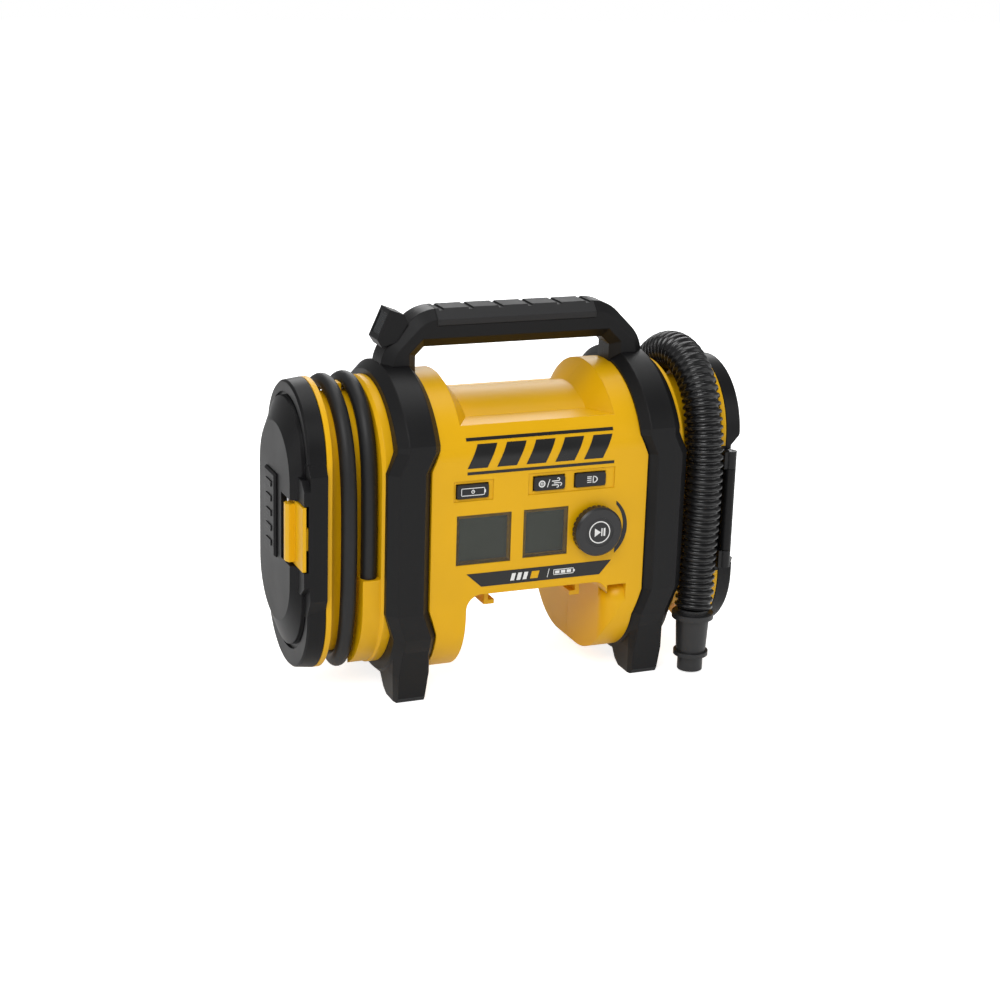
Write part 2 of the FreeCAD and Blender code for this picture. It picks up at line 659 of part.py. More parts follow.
def door(scoop=False):
    band = stadium_stack([(din, 46.0, zl, zh), (dband - 1.2, 44.8, zl, zh),
                          (dband, 43.6, zl, zh)])
    groove = stadium(dband - 1.6, dband + 1, 40.6, 68.0, 152.0).cut(
        stadium(dband - 2, dband + 2, 38.6, 69.0, 152.0))
    lid = stadium_stack([(dband - 3, 38.6, 69.0, 152.0), (149.0, 38.2, 69.0, 152.0),
                         (dout, 33.0, 80.0, 142.0)])
    blk = Part.Face(poly([(din, -43.0, 60.0), (din, -50.0, 73.0), (din, -50.0, 152.0),
                          (din, -45.5, 158.0), (din, -10.0, 158.0), (din, -10.0, 60.0)])
                    ).extrude(Vec(dband - din, 0, 0))
    blk2 = Part.Face(poly([(dband - 1, -43.0, 76.0), (dband - 1, -50.0, 82.0),
                           (dband - 1, -50.0, 143.0), (dband - 1, -44.0, 149.0),
                           (dband - 1, -10.0, 149.0), (dband - 1, -10.0, 76.0)])
                     ).extrude(Vec(5.0, 0, 0))
    s = band.cut(groove).fuse([lid, blk, blk2]).removeSplitter()
    cav = stadium(din - 1, 144.4, 42.6, zl, zh).fuse(
        stadium_stack([(144.0, 35.4, 69.0, 152.0), (149.0, 34.8, 69.0, 152.0),
                       (dout - 2.6, 30.6, 80.0, 142.0)]))
    cav = cav.cut(box(145.2, 160.0, -60.0, -11.8, 84.0, 141.0))
    if scoop:
        cav = cav.cut(scoop_of(2.8))
        s = s.cut(scoop_of(0.0))
    s = s.cut(cav)
    s = s.cut(box(148.0, 160.0, -60.0, -14.5, 91.9, 134.1))
    s = s.cut(box(146.2, 149.0, -48.4, -42.4, 104.0, 121.0))
    s = s.cut(tube(1.25, (lx, ly, 84.5), (lx, ly, 141.0)))
    knuckle = tube(4.0, (hx, hyy, 80.0), (hx, hyy, 135.0)).fuse(
        Part.Face(poly([(din, 40.0, 80.0), (din, hyy, 80.0), (hx + 4.0, hyy, 80.0),
                        (144.0, 42.5, 80.0), (144.0, 40.0, 80.0)])).extrude(
            Vec(0, 0, 55.0)))
    knuckle = knuckle.cut(stadium(din - 1, 144.4, 42.6, zl, zh))
    s = s.fuse(knuckle)
    return s.cut(tube(pr + V("run_gap"), (hx, hyy, 79.0), (hx, hyy, 136.0))).removeSplitter()


def latch():
    plate = Part.Face(poly([(149.5, -49.5, 92.5), (151.8, -49.5, 92.5), (151.8, -20.6, 92.5),
                            (150.6, -20.6, 92.5), (149.5, -24.0, 92.5)])).extrude(
        Vec(0, 0, 41.0))
    rib = Part.Face(poly([(150.6, -33.5, 94.5), (150.6, -26.0, 94.5), (155.4, -26.0, 94.5),
                          (157.0, -27.4, 94.5), (157.0, -30.6, 94.5), (155.6, -33.5, 94.5)])
                    ).extrude(Vec(0, 0, 37.0))
    hook = box(146.8, 149.8, -47.6, -44.8, 105.5, 119.5)
    s = plate.fuse([rib, hook]).removeSplitter()
    return s.cut(tube(1.25 + V("run_gap"), (lx, ly, 80.0), (lx, ly, 150.0)))


d, l = door(), latch()
node(feat(turned(door(True))), "right_door")
node(feat(flat_mirror(d)), "left_door")
node(feat(turned(l)), "right_latch")
node(feat(flat_mirror(l)), "left_latch")
node(C("Z", "1.25", "84.8", "140.7", "latch_pivot_x", "0-latch_pivot_y"),
     "right_latch_pin")
node(C("Z", "1.25", "84.8", "140.7", "0-latch_pivot_x", "latch_pivot_y"), "left_latch_pin")
for sign, label in ((1, "right_door_plate"), (-1, "left_door_plate")):
    y0, y1 = ("0-16.5", "6") if sign > 0 else ("0-6", "16.5")
    plate = rounded(B("door_out", "door_out+2", y0, y1, "89", "143"),
                    lambda e: ends(e)[0].x > dout + 1.9 and ends(e)[1].x > dout + 1.9, 1.2,
                    "Part::Chamfer")
    node(plate if sign > 0 else mirror(plate), label)

# =================================================================== handle
hh, ht, hu = V("handle_half"), V("handle_top"), V("handle_under")
hd, hc, si = V("handle_depth") / 2.0, V("handle_chamfer"), V("strut_inner")
TN = math.tan(math.radians(22.5))


def handle_outer(y, d):
    """Outline of the arch; its corners are arcs about the same centres for any d."""
    c, r = 26.0, 26.0 - d
    pts = [Vec(-hh + d, y, 190), Vec(-hh + d, y, ht - c - TN * d),
           Vec(-hh + c + TN * d, y, ht - d), Vec(hh - c - TN * d, y, ht - d),
           Vec(hh - d, y, ht - c - TN * d), Vec(hh - d, y, 190)]
    edges, last, back = [], pts[0], TN * r
    for a, b, q in zip(pts, pts[1:], pts[2:]):
        u, v = (b - a).normalize(), (q - b).normalize()
        s, e = b - u * back, b + v * back
        mid = b + (v - u).normalize() * (r / math.cos(math.radians(22.5)) - r)
        edges += [Part.LineSegment(last, s).toShape(), Part.Arc(s, mid, e).toShape()]
        last = e
    edges += [Part.LineSegment(last, pts[-1]).toShape(),
              Part.LineSegment(pts[-1], pts[0]).toShape()]
    return Part.Wire(edges)


def handle_inner(y, d):
    return poly([(-si - d, y, 185), (-si - d, y, hu - 5.5 + TN * d),
                 (-si + 5.5 - TN * d, y, hu + d), (si - 5.5 + TN * d, y, hu + d),
                 (si + d, y, hu - 5.5 + TN * d), (si + d, y, 185)])


def handle_form(g):
    """Chamfered arch; g shrinks it all round."""
    ys = [(-hd + g, hc + g), (-hd + hc + 0.42 * g, g), (hd - hc - 0.42 * g, g),
          (hd - g, hc + g)]
    a = loft([handle_outer(y, q) for y, q in ys])
    b = loft([handle_inner(y, q) for y, q in ys])
    return a.cut(b)


arch = handle_form(0.0)
grip_zone = box(-54.0, 54.0, -30.0, 30.0, hu + 14.0, 260.0)
grip_gap = box(-54.2, 54.2, -30.0, 30.0, hu + 13.8, 260.0)
grip = arch.common(grip_zone).cut(handle_form(2.2))
for k in range(6):
    gx = -50.0 + 20.0 * k
    grip = grip.cut(box(gx - 1.6, gx + 1.6, -30, 30, ht - 1.1, ht + 5))
arch = arch.cut(grip_gap).fuse(handle_form(2.2).common(grip_gap)).removeSplitter()
arch = arch.cut(Part.Shape(frame)).cut(flat_mirror(frame))
seat = Part.makeCylinder(fr - 7.0, 300, Vec(-150, 0, th), Vec(1, 0, 0))
arch = arch.cut(seat)
handle_hollow = handle_form(5.0).cut(box(-100, 100, -30, 30, 150, 214))
arch = arch.cut(handle_hollow)

# work light let into the upper left corner of the handle
n = Vec(-0.914, 0, 0.405)
lamp = Part.Face(poly([(-89.0, -10.0, 219.5), (-92.2, -10.0, 224.4), (-84.0, -10.0, 243.0),
                       (-74.6, -10.0, 239.4), (-72.2, -10.0, 233.6), (-79.0, -10.0, 222.5)])
                 ).extrude(Vec(0, 17.0, 0))
arch = arch.cut(lamp)
solids = sorted(arch.Solids, key=lambda q: -q.Volume)
arch = solids[0]
node(feat(arch.common(halfspace("y", -90, 0))), "handle_front")
node(feat(arch.common(halfspace("y", 0, 90))), "handle_rear")
node(feat(grip), "handle_grip")
mid = Vec(-88.1, -1.5, 233.7)
frm = Placement(mid, Rotation(Vec(0, 0, 1), n))


def lamp_box(w, t, d0, d1):
    b = Part.makeBox(t, w, d1 - d0, Vec(-t / 2.0, -w / 2.0, d0))
    b.Placement = frm
    return b


lens_pocket = lamp_box(13.0, 14.0, -4.0, 3.0)
node(feat(lamp.cut(lens_pocket)), "light_housing")
node(feat(lamp_box(12.8, 13.8, -1.9, -0.5)), "light_lens")
node(feat(lamp_box(12.0, 13.0, -3.9, -2.5).fuse(lamp_box(3.0, 3.0, -2.5, -2.0))), "light_board")

# ============================================================ control panel
for label, x0, x1, z0, z1 in (("left_display_window", -56.0, -20.0, 90.5, 122.3),
                              ("right_display_window", -11.3, 18.6, 91.4, 122.5)):
    node(B(x0, x1, "0-front_plane+0.2", "0-front_plane+1.3", z0, z1), label)
for label, x0, x1, z0, z1 in (("left_display", -56.0, -20.0, 90.5, 122.3),
                              ("right_display", -11.3, 18.6, 91.4, 122.5)):
    node(B(x0, x1, "0-front_plane+2.7", "0-front_plane+6.5", z0 - 1, z1 + 1), label)
node(B("0-57", "57", "0-front_plane+6.6", "0-front_plane+8.2", "79", "146"),
     "control_board")
for label, bx, bz in BUTTONS:
    cap = rounded(B("%s-button_wide/2" % bx, "%s+button_wide/2" % bx, "0-front_plane-1.0",
                    "0-front_plane+3", "%s-button_high/2" % bz, "%s+button_high/2" % bz),
                  lambda e: runs(e, "y"), 1.8)
    cap = rounded(cap, lambda e: all(p.y < -V("front_plane") - 0.9 for p in ends(e)), 0.5)
    flange = B("%s-button_wide/2-1" % bx, "%s+button_wide/2+1" % bx, "0-front_plane+2.8",
               "0-front_plane+3.8", "%s-button_high/2-1" % bz, "%s+button_high/2+1" % bz)
    node(fuse(cap, flange), label)
node(fuse(*[B("%s-3" % bx, "%s+3" % bx, "0-front_plane+5.2", "0-front_plane+6.6",
              "%s-3" % bz, "%s+3" % bz) for label, bx, bz in BUTTONS]), "button_switches")

# selector knob: ribbed cylinder on an encoder shaft
kb = new_body("knob")
ks = new_sketch(kb, "XZ_Plane", "knob_face-1.5")
circle(ks, "knob_radius", "knob_x", "knob_height")
pad(kb, ks, "1.5")
ks0 = new_sketch(kb, "XZ_Plane", "front_plane+1.3")
circle(ks0, "knob_radius", "knob_x", "knob_height")
pad(kb, ks0, "knob_face-front_plane-2.7")
kp = new_sketch(kb, "XZ_Plane", "front_plane+1.3")
circle(kp, "3.0", "knob_x", "knob_height")
kk = pocket(kb, kp, "5.0")
kk.Reversed = True
doc.recompute()
base_feature = kb.Tip
top_edges = ["Edge%d" % (i + 1) for i, e in enumerate(base_feature.Shape.Edges)
             if isinstance(e.Curve, Part.Circle)
             and abs(e.Curve.Center.y + V("knob_face")) < 1e-3]
kc = kb.newObject("PartDesign::Chamfer", "knob_bevel")
kc.Base = (base_feature, top_edges)
kc.Size = 1.2
kb.Tip = kc
flutes = []
for k in range(28):
    a = 2 * math.pi * k / 28
    flutes.append(C("Y", "0.9", "0-knob_face+2.2", "0-front_plane",
                    "knob_x+(knob_radius+0.35)*cos(%s)" % round(math.degrees(a), 3),
                    "knob_height+(knob_radius+0.35)*sin(%s)" % round(math.degrees(a), 3)))
node(cut(kb, C("Y", "9.4", "0-knob_face-1", "0-knob_face+0.8", "knob_x", "knob_height"),
         *flutes), "selector_knob")
node(C("Y", "9.3", "0-knob_face+0.1", "0-knob_face+0.8", "knob_x", "knob_height"), "knob_cap")
node(C("Y", "3.0", "0-front_plane-6.2", "0-front_plane+3.6", "knob_x", "knob_height"),
     "encoder_shaft")
node(cut(C("Y", "4.2", "0-front_plane+0.2", "0-front_plane+3.4", "knob_x", "knob_height"),
         C("Y", "3.0+run_gap", "0-front_plane-1", "0-front_plane+5", "knob_x", "knob_height")),
     "encoder_plunger")
node(B("knob_x-7", "knob_x+7", "0-front_plane+4.6", "0-front_plane+6.6", "knob_height-7",
       "knob_height+7"), "encoder_base")
# printed trims, thin plates let into the panel face
strip = prism("XZ_Plane", [("0-49", "84.2"), ("50", "84.2"), ("42", "75.2"), ("0-39", "75.2")],
              "0-front_plane-0.25", "0-front_plane")
arc_out = C("Y", "22.6", "0-front_plane-0.25", "0-front_plane", "knob_x", "knob_height")
arc_in = C("Y", "21.0", "0-front_plane-1", "0-front_plane+1", "knob_x-1.2", "knob_height+0.9")
node(fuse(strip, common(cut(arc_out, arc_in),
                        B("52", "70", "0-front_plane-1", "0-front_plane+1", "88.5", "124"))),
     "panel_trims")
bars = [B("0-50", "49", "0-90", "0-40", "169.0", "170.8"),
        B("0-50", "49", "0-90", "0-40", "148.4", "150.2")]
bars += [prism("XZ_Plane", [(str(x0), "152.4"), (str(x0 + 13), "152.4"),
                            (str(x0 + 20), "167.0"), (str(x0 + 7), "167.0")],
               "0-90", "0-40") for x0 in (-50, -30.5, -11, 8.5, 28)]
film = feat(side_profile(-0.25).cut(side_profile(0.0)))
node(common(fuse(*bars), film), "panel_badge")

# ================================================================ battery bay
rail = [B("26", "33", "0-50", "50", "59.5", "62.5"),
        B("30", "33", "0-50", "50", "62.5", "bay_height")]
rr = fuse(*rail)
node(fuse(rr, mirror(rr)), "battery_rails")
node(B("0-20", "20", "8", "40", "60.5", "bay_height"), "terminal_block")
node(fuse(*[B("%s-0.5" % x, "%s+0.5" % x, "0-12", "8", "61.5", "68") for x in
            (-15, -5, 5, 15)]), "terminal_blades")

# ================================================================= compressor
mz, cyy, czz = "motor_height", "crank_y", "crank_height"
node(rounded(C("X", "18.5", "0-56", "0-4", cyy, mz),
             lambda e: abs(e.BoundBox.XMin - e.BoundBox.XMax) < 1e-6, 1.5),
     "compressor_motor")
node(cut(fuse(B("0-3.9", "0-0.9", "crank_y-22", "crank_y+19", "104", "172"),
              B("0-3.9", "26", "crank_y-16", "crank_y+16", "75", "104")),
         C("X", "4.0", "0-5", "1", cyy, mz),
         C("X", "8.0", "0-5", "1", cyy, czz),
         C("Z", "12.0", "82", "110", "12.5", cyy),
         B("0-0.9", "0.5", "crank_y-30", "crank_y+30", "103.9", "105")),
     "compressor_bracket")
node(cut(C("Z", "12.0", "82", "103.6", "12.5", cyy),
         C("Z", "piston_radius+0.05", "83", "110", "12.5", cyy)), "cylinder_liner")
node(cut(C("X", "8.0", "0-3.9", "0-0.9", cyy, czz), C("X", "2.5+run_gap", "0-5", "1", cyy, czz)),
     "crank_bearing")


def gear(label, teeth, cy_, cz_, x0, x1, phase, module):
    """Spur gear: root disc and one tooth, patterned round."""
    b = new_body(label)
    s = new_sketch(b, "YZ_Plane", x0)
    rp = module * teeth / 2.0
    rf, ra = rp - 1.25 * module, rp + 0.95 * module
    circle(s, "%s" % rf)
    pad(b, s, "(%s)-(%s)" % (x1, x0))
    t = new_sketch(b, "YZ_Plane", x0)
    hw = math.pi * module / 4.0 * 0.92
    pts = [(rf - 0.6, -hw * 1.25), (ra, -hw * 0.55), (ra, hw * 0.55), (rf - 0.6, hw * 1.25)]
    ca, sa = math.cos(phase), math.sin(phase)
    polygon(t, [("%.6f" % (u * ca - v * sa), "%.6f" % (u * sa + v * ca)) for u, v in pts])
    p = pad(b, t, "(%s)-(%s)" % (x1, x0))
    polar(b, p, s, teeth)
    bind(b, "Placement.Base.y", cy_)
    bind(b, "Placement.Base.z", cz_)
    return b


gt, pt = int(V("gear_teeth")), int(V("pinion_teeth"))
g = gear("crank_gear", gt, cyy, czz, "1.2", "7.2", math.pi / 2.0, V("gear_module"))
node(fuse(g, C("X", "2.5", "0-3.6", "1.3", cyy, czz),
          C("X", "2.0", "7.1", "9.9", cyy, "crank_height-crank_throw")), "crank_gear")
p = gear("motor_pinion", pt, cyy, mz, "1.2", "7.2", -math.pi / 2.0 + math.pi / pt,
         V("gear_module"))
node(fuse(p, C("X", "1.5", "0-3.9", "1.3", cyy, mz)), "motor_pinion")
eye = cut(fuse(C("X", "4.6", "10.2", "14.6", cyy, "crank_height-crank_throw"),
               B("10.9", "13.9", "crank_y-2.4", "crank_y+2.4",
                 "crank_height-crank_throw-rod_length", "crank_height-crank_throw")),
          C("X", "2.1", "9", "16", cyy, "crank_height-crank_throw"))
node(fuse(eye, C("Z", "piston_radius", "crank_height-crank_throw-rod_length-4",
                 "crank_height-crank_throw-rod_length+4", "12.5", cyy)), "piston_rod")

# ==================================================================== blower
bz = "blower_height"
node(cut(C("X", "40", "33", "58", "0", bz),
         C("X", "37.5", "35", "56", "0", bz),
         C("X", "14", "55", "60", "0", bz),
         C("X", "4", "30", "36", "0", bz)), "blower_scroll")
node(C("X", "14", "17", "33", "0", bz), "blower_motor")
ib = new_body("impeller")
s0 = new_sketch(ib, "YZ_Plane", "36.5")
circle(s0, "impeller_radius")
pad(ib, s0, "2")
s1 = new_sketch(ib, "YZ_Plane", "38.4")
polygon(s1, [("7", "0-1"), ("33", "0-1"), ("33", "1"), ("7", "1")])
bl = pad(ib, s1, "14")
polar(ib, bl, s0, 12)
bind(ib, "Placement.Base.z", bz)
node(fuse(ib, C("X", "8", "38", "52", "0", bz), C("X", "2", "33.2", "38", "0", bz)),
     "blower_impeller")

# ===================================================================== hoses


def cord_path(pts, fraction=0.45):
    """Straight runs joined by tangent arcs; returns the wire and its radii."""
    pts = [Vec(*p) for p in pts]
    edges, radii = [], []
    last = pts[0]
    for i in range(1, len(pts) - 1):
        a, b, c = pts[i - 1], pts[i], pts[i + 1]
        u, w = (a - b), (c - b)
        lu, lw = u.Length, w.Length
        u.normalize()
        w.normalize()
        turn = math.pi - u.getAngle(w)
        cutb = fraction * min(lu, lw)
        radius = cutb / math.tan(turn / 2.0)
        radii.append(radius)
        p1, p2 = b + u * cutb, b + w * cutb
        bis = (u + w)
        bis.normalize()
        dist = radius / math.cos(turn / 2.0)
        centre = b + bis * dist
        midp = centre - bis * radius
        if (p1 - last).Length > 1e-4:
            edges.append(Part.LineSegment(last, p1).toShape())
        edges.append(Part.Arc(p1, midp, p2).toShape())
        last = p2
    edges.append(Part.LineSegment(last, pts[-1]).toShape())
    return Part.Wire(edges), radii


def cord_solid(pts, dia, label):
    wire, radii = cord_path(pts)
    start = Vec(*pts[0])
    d = Vec(*pts[1]) - start
    prof = Part.Wire([Part.Circle(start, d, dia / 2.0).toShape()])
    s = wire.makePipeShell([prof], True, False)
    area = math.pi * dia * dia / 4.0
    print("%s length %.1f mm, volume %.1f of %.1f, radii %s" % (
        label, wire.Length, s.Volume, area * wire.Length,
        " ".join("%.0f" % r for r in radii)))
    return s


# high-pressure hose: up from the boss, once round the spool and over again
THIN_ROUTE = [
    (-108.2, -43.0, 54.0), (-108.2, -44.6, 78.0), (-108.2, -45.4, 104.0),
    (-108.2, -45.0, 132.0), (-108.0, -43.0, 158.0), (-108.0, -34.0, 181.0),
    (-108.0, -17.5, 195.5), (-108.0, 3.0, 199.4), (-108.0, 23.5, 193.0),
    (-108.0, 38.0, 177.0), (-108.0, 44.5, 154.0), (-108.0, 46.0, 126.0),
    (-108.4, 45.8, 96.0), (-109.6, 43.5, 66.0), (-111.6, 38.5, 39.5),
    (-114.2, 20.5, 23.0), (-117.0, 0.0, 16.4), (-119.4, -20.5, 21.5),
    (-120.8, -36.5, 37.0), (-121.4, -44.5, 59.0), (-121.6, -47.0, 86.0),
    (-121.6, -47.4, 116.0), (-121.6, -46.0, 144.0), (-121.6, -39.5, 170.0),
    (-121.8, -24.5, 190.0), (-122.0, -3.5, 198.6), (-122.0, 18.5, 195.0),
    (-122.0, 35.5, 181.0), (-122.0, 44.5, 161.0), (-122.0, 46.5, 138.0)]
thin = cord_solid(THIN_ROUTE, V("thin_hose"), "thin hose")
node(feat(thin), "pressure_hose")

# tyre chuck on the hose end, at the rear of the spool
cx, cyc = -122.0, 46.5
chuck = cut(fuse(C("Z", "5.8", "98", "130", str(cx), str(cyc)),
                 C("Z", "5.2", "130", "137.4", str(cx), str(cyc)),
                 B(cx - 3.0, cx + 3.0, str(cyc), str(cyc + 7.5), "119.8", "124.2"),
                 C("X", "2.2", cx - 3.0, cx + 3.0, cyc + 7.5, "122")),
            C("Z", "3.95", "97", "110", str(cx), str(cyc)),
            C("X", "1.0", cx - 5, cx + 5, cyc + 7.5, "122"))
node(chuck, "chuck_body")
lever = cut(fuse(B(cx - 5.2, cx + 5.2, str(cyc + 10.0), str(cyc + 12.4), "100", "123.5"),
                 B(cx - 5.2, cx - 3.4, str(cyc + 6.0), str(cyc + 11.0), "120.2", "123.8"),
                 B(cx + 3.4, cx + 5.2, str(cyc + 6.0), str(cyc + 11.0), "120.2", "123.8")),
            C("X", "1.06", cx - 8, cx + 8, cyc + 7.5, "122"))
node(lever, "chuck_lever")
node(C("X", "1.0", cx - 5.0, cx + 5.0, cyc + 7.5, "122"), "chuck_pin")

# corrugated hose: from the rear port over the spool, hanging down the front
WIDE_ROUTE = [
    (gm, 47.0, 44.0), (gm, 49.0, 72.0), (gm, 50.4, 102.0), (gm, 50.0, 132.0),
    (gm, 47.0, 160.0), (gm, 35.0, 187.0), (gm, 11.0, 203.7), (gm, -15.0, 205.3),
    (gm, -38.5, 190.5), (gm, -49.2, 166.0), (gm, -52.6, 140.0), (gm - 0.2, -53.0, 114.0),
    (gm - 0.8, -52.6, 90.0), (gm - 1.7, -52.6, 68.0), (gm - 2.25, -54.4, 54.0),
    (gm - 3.95, -56.0, 43.0)]
wide = cord_solid(WIDE_ROUTE, V("wide_hose"), "wide hose")
node(feat(wide), "corrugated_hose")
wx, wy = gm - 3.95, -56.0
nozzle = cut(fuse(C("Z", "13.7", "37.3", "40.9", str(wx), str(wy)),
                  C("Z", "10.0", "40.9", "43.6", str(wx), str(wy)),
                  K("Z", "9.7", "11.0", "14.4", "37.3", str(wx), str(wy)),
                  C("Z", "11.4", "11.5", "14.4", str(wx), str(wy)),
                  C("Z", "8.3", "1.3", "11.5", str(wx), str(wy))),
             C("Z", "6.6", "0.5", "60", str(wx), str(wy)))
node(nozzle, "hose_nozzle")

# ==================================================================== output
doc.recompute()
problems = []
for o in doc.Objects:
    if "Invalid" in o.State or "Error" in o.State:
        problems.append("%s (%s): %s" % (o.Name, o.Label, o.State))
for o in NODES:
    s = o.Shape
    if s.isNull() or not s.isValid():
        problems.append("%s: null or not valid" % o.Label)
    elif not s.Solids or s.Volume <= 0:
        problems.append("%s: no solid" % o.Label)
if problems:
    raise RuntimeError("; ".join(problems))
os.makedirs("parts", exist_ok=True)
labels = [o.Label for o in NODES]
if len(set(labels)) != len(labels):
    raise RuntimeError("two sub-parts share a label")
for o in NODES:
    o.Shape.exportStep("parts/%s.step" % o.Label)
    print("%-24s solids %2d  volume %9.1f" % (o.Label, len(o.Shape.Solids), o.Shape.Volume))
print(len(NODES), "nodes")
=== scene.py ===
"""Looks of the cordless air inflator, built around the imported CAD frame. Metres, row frame."""
import math
import random

import bpy
import bmesh
from mathutils import Matrix, Vector


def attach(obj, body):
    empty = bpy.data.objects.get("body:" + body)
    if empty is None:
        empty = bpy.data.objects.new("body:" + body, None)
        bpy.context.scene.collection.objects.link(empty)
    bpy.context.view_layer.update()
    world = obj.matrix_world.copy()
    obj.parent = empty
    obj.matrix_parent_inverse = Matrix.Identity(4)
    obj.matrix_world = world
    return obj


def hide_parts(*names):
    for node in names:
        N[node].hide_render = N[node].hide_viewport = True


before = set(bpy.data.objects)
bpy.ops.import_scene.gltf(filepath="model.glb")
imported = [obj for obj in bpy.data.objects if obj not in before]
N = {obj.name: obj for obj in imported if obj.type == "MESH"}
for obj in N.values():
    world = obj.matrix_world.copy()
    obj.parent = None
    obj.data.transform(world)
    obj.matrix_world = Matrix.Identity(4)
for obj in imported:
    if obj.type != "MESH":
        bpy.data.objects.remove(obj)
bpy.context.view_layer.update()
MM = 0.001
SC = bpy.context.scene

# ------------------------------------------------------------------ camera
az, el, roll = math.radians(-22.756), math.radians(16.870), math.radians(1.776)
back = Vector((math.sin(az) * math.cos(el), -math.cos(az) * math.cos(el), math.sin(el)))
fwd = -back
right = fwd.cross(Vector((0, 0, 1))).normalized()
up = right.cross(fwd)
rr = right * math.cos(roll) + up * math.sin(roll)
uu = -right * math.sin(roll) + up * math.cos(roll)
cam_data = bpy.data.cameras.new("camera")
cam_data.sensor_width = 36.0
cam_data.lens = 2037.6 * 36.0 / 1000.0
cam_data.clip_start, cam_data.clip_end = 0.05, 50.0
cam = bpy.data.objects.new("camera", cam_data)
SC.collection.objects.link(cam)
cam.matrix_world = Matrix((
    (rr.x, uu.x, -fwd.x, -0.493968),
    (rr.y, uu.y, -fwd.y, -1.170415),
    (rr.z, uu.z, -fwd.z, 0.496060),
    (0, 0, 0, 1)))
SC.camera = cam

# ------------------------------------------------------------------- cords
THIN_ROUTE = [
    (-108.2, -43.0, 54.0), (-108.2, -44.6, 78.0), (-108.2, -45.4, 104.0),
    (-108.2, -45.0, 132.0), (-108.0, -43.0, 158.0), (-108.0, -34.0, 181.0),
    (-108.0, -17.5, 195.5), (-108.0, 3.0, 199.4), (-108.0, 23.5, 193.0),
    (-108.0, 38.0, 177.0), (-108.0, 44.5, 154.0), (-108.0, 46.0, 126.0),
    (-108.4, 45.8, 96.0), (-109.6, 43.5, 66.0), (-111.6, 38.5, 39.5),
    (-114.2, 20.5, 23.0), (-117.0, 0.0, 16.4), (-119.4, -20.5, 21.5),
    (-120.8, -36.5, 37.0), (-121.4, -44.5, 59.0), (-121.6, -47.0, 86.0),
    (-121.6, -47.4, 116.0), (-121.6, -46.0, 144.0), (-121.6, -39.5, 170.0),
    (-121.8, -24.5, 190.0), (-122.0, -3.5, 198.6), (-122.0, 18.5, 195.0),
    (-122.0, 35.5, 181.0), (-122.0, 44.5, 161.0), (-122.0, 46.5, 138.0)]
gm = 117.25
WIDE_ROUTE = [
    (gm, 47.0, 44.0), (gm, 49.0, 72.0), (gm, 50.4, 102.0), (gm, 50.0, 132.0),
    (gm, 47.0, 160.0), (gm, 35.0, 187.0), (gm, 11.0, 203.7), (gm, -15.0, 205.3),
    (gm, -38.5, 190.5), (gm, -49.2, 166.0), (gm, -52.6, 140.0), (gm - 0.2, -53.0, 114.0),
    (gm - 0.8, -52.6, 90.0), (gm - 1.7, -52.6, 68.0), (gm - 2.25, -54.4, 54.0),
    (gm - 3.95, -56.0, 43.0)]


def nurbs(name, points, radius=0.0, resolution=16):
    cu = bpy.data.curves.new(name, "CURVE")
    cu.dimensions = "3D"
    sp = cu.splines.new("NURBS")
    sp.points.add(len(points) - 1)
    for p, q in zip(sp.points, points):
        p.co = (q[0] * MM, q[1] * MM, q[2] * MM, 1.0)
    sp.order_u = 3
    sp.use_endpoint_u = True
    cu.resolution_u = resolution
    cu.bevel_depth = radius
    cu.bevel_resolution = 8
    cu.use_fill_caps = True
    ob = bpy.data.objects.new(name, cu)
    SC.collection.objects.link(ob)
    return ob


def line_of(name, points):
    """Points along the smooth line of a route, in metres."""
    ob = nurbs(name, points, 0.0, 24)
    bpy.context.view_layer.update()
    me = bpy.data.meshes.new_from_object(ob.evaluated_get(
        bpy.context.evaluated_depsgraph_get()))
    pts = [v.co.copy() for v in me.vertices]
    bpy.data.meshes.remove(me)
    cu = ob.data
    bpy.data.objects.remove(ob)
    bpy.data.curves.remove(cu)
    return pts


def length_of(pts):
    return sum((b - a).length for a, b in zip(pts, pts[1:]))


def mesh_object(name, verts, faces, smooth=True):
    me = bpy.data.meshes.new(name)
    me.from_pydata([tuple(v) for v in verts], [], faces)
    me.validate()
    if smooth:
        me.polygons.foreach_set("use_smooth", [True] * len(me.polygons))
    me.update()
    ob = bpy.data.objects.new(name, me)
    SC.collection.objects.link(ob)
    return ob


def sampled(pts, distances):
    """Positions and directions at the given distances along a line."""
    acc = [0.0]
    for a, b in zip(pts, pts[1:]):
        acc.append(acc[-1] + (b - a).length)
    out, k = [], 0
    for d in distances:
        d = min(max(d, 0.0), acc[-1])
        while k < len(pts) - 2 and acc[k + 1] < d:
            k += 1
        seg = acc[k + 1] - acc[k]
        t = (d - acc[k]) / seg if seg > 0 else 0.0
        out.append(pts[k].lerp(pts[k + 1], t))
    return out, acc[-1]


